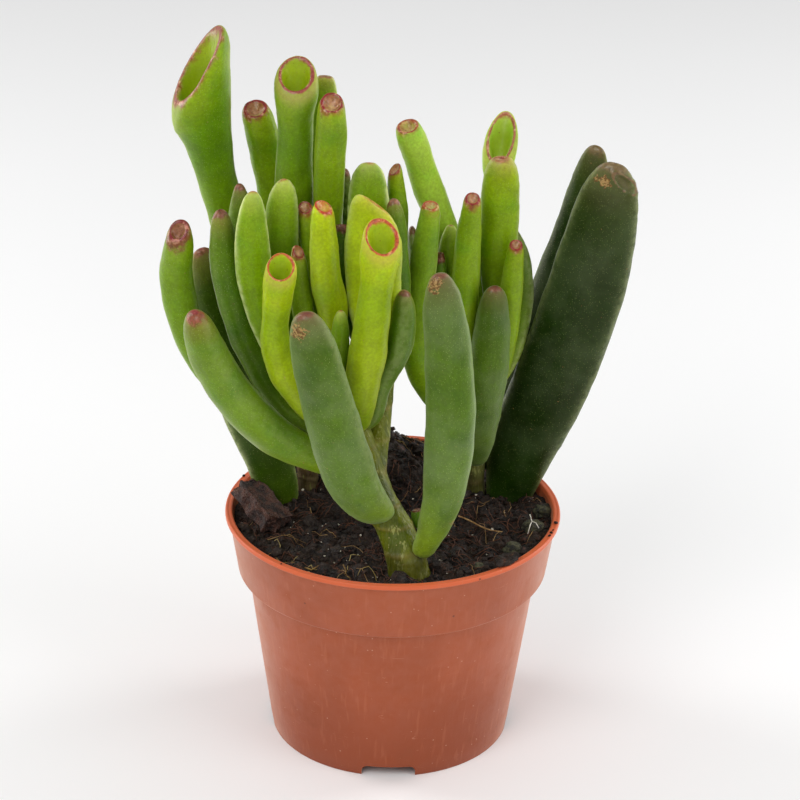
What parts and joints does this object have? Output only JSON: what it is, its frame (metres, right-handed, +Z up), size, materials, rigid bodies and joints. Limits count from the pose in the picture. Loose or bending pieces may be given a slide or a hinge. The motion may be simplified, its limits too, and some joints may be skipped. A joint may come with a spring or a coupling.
{
  "type": "potted jade plant",
  "caption": "Small potted succulent with finger and trumpet leaves on three stems, rooted in peat in a round tapered plastic nursery pot with a deep collar.",
  "frame": {"origin": "middle of the pot's foot, on the table", "axes": "+Z up, +Y to the back, +X to the right seen from the front"},
  "size_m": [0.1153, 0.085, 0.184],
  "materials": {
    "pot_plastic": "satin terracotta-coloured thin plastic",
    "peat_soil": "damp crumbly peat",
    "green_stem": "smooth green stem with ring scars",
    "woody_stem": "dry fibrous bark",
    "bark": "rough bark",
    "straw": "dry straw",
    "leaf": "waxy mid-green leaf with a red tip",
    "young_leaf": "waxy yellow-green leaf with a red tip",
    "old_leaf": "dull dark green leaf with a pale bloom"
  },
  "bodies": {
    "root": {"nursery_pot": "pot_plastic", "potting_soil": "peat_soil", "front_stem": "green_stem", "back_stem": "woody_stem", "right_stem": "woody_stem", "bark_chip": "bark", "peat_flake": "peat_soil", "straw_bit": "straw", "horn_leaf": "leaf", "finger_leaf_1": "leaf", "trumpet_leaf_1": "leaf", "blade_leaf_1": "leaf", "finger_leaf_2": "leaf", "pointed_leaf_1": "leaf", "finger_leaf_3": "leaf", "blade_leaf_2": "leaf", "blade_leaf_3": "leaf", "finger_leaf_4": "leaf", "finger_leaf_5": "leaf", "finger_leaf_6": "leaf", "trumpet_leaf_2": "young_leaf", "finger_leaf_7": "young_leaf", "finger_leaf_8": "young_leaf", "trumpet_leaf_3": "young_leaf", "finger_leaf_9": "young_leaf", "paddle_leaf_1": "old_leaf", "paddle_leaf_2": "leaf", "paddle_leaf_3": "old_leaf", "bud_leaf_1": "old_leaf", "blade_leaf_4": "leaf", "blade_leaf_5": "leaf", "blade_leaf_6": "leaf", "pointed_leaf_2": "leaf", "finger_leaf_10": "leaf", "finger_leaf_11": "leaf", "blade_leaf_7": "leaf", "finger_leaf_12": "leaf", "trumpet_leaf_4": "leaf", "blade_leaf_8": "leaf", "finger_leaf_13": "leaf", "finger_leaf_14": "leaf", "blade_leaf_9": "leaf", "bud_leaf_2": "leaf", "finger_leaf_15": "leaf", "blade_leaf_10": "leaf", "paddle_leaf_4": "old_leaf", "paddle_leaf_5": "leaf", "paddle_leaf_6": "old_leaf", "paddle_leaf_7": "leaf"}
  },
  "joints": []
}
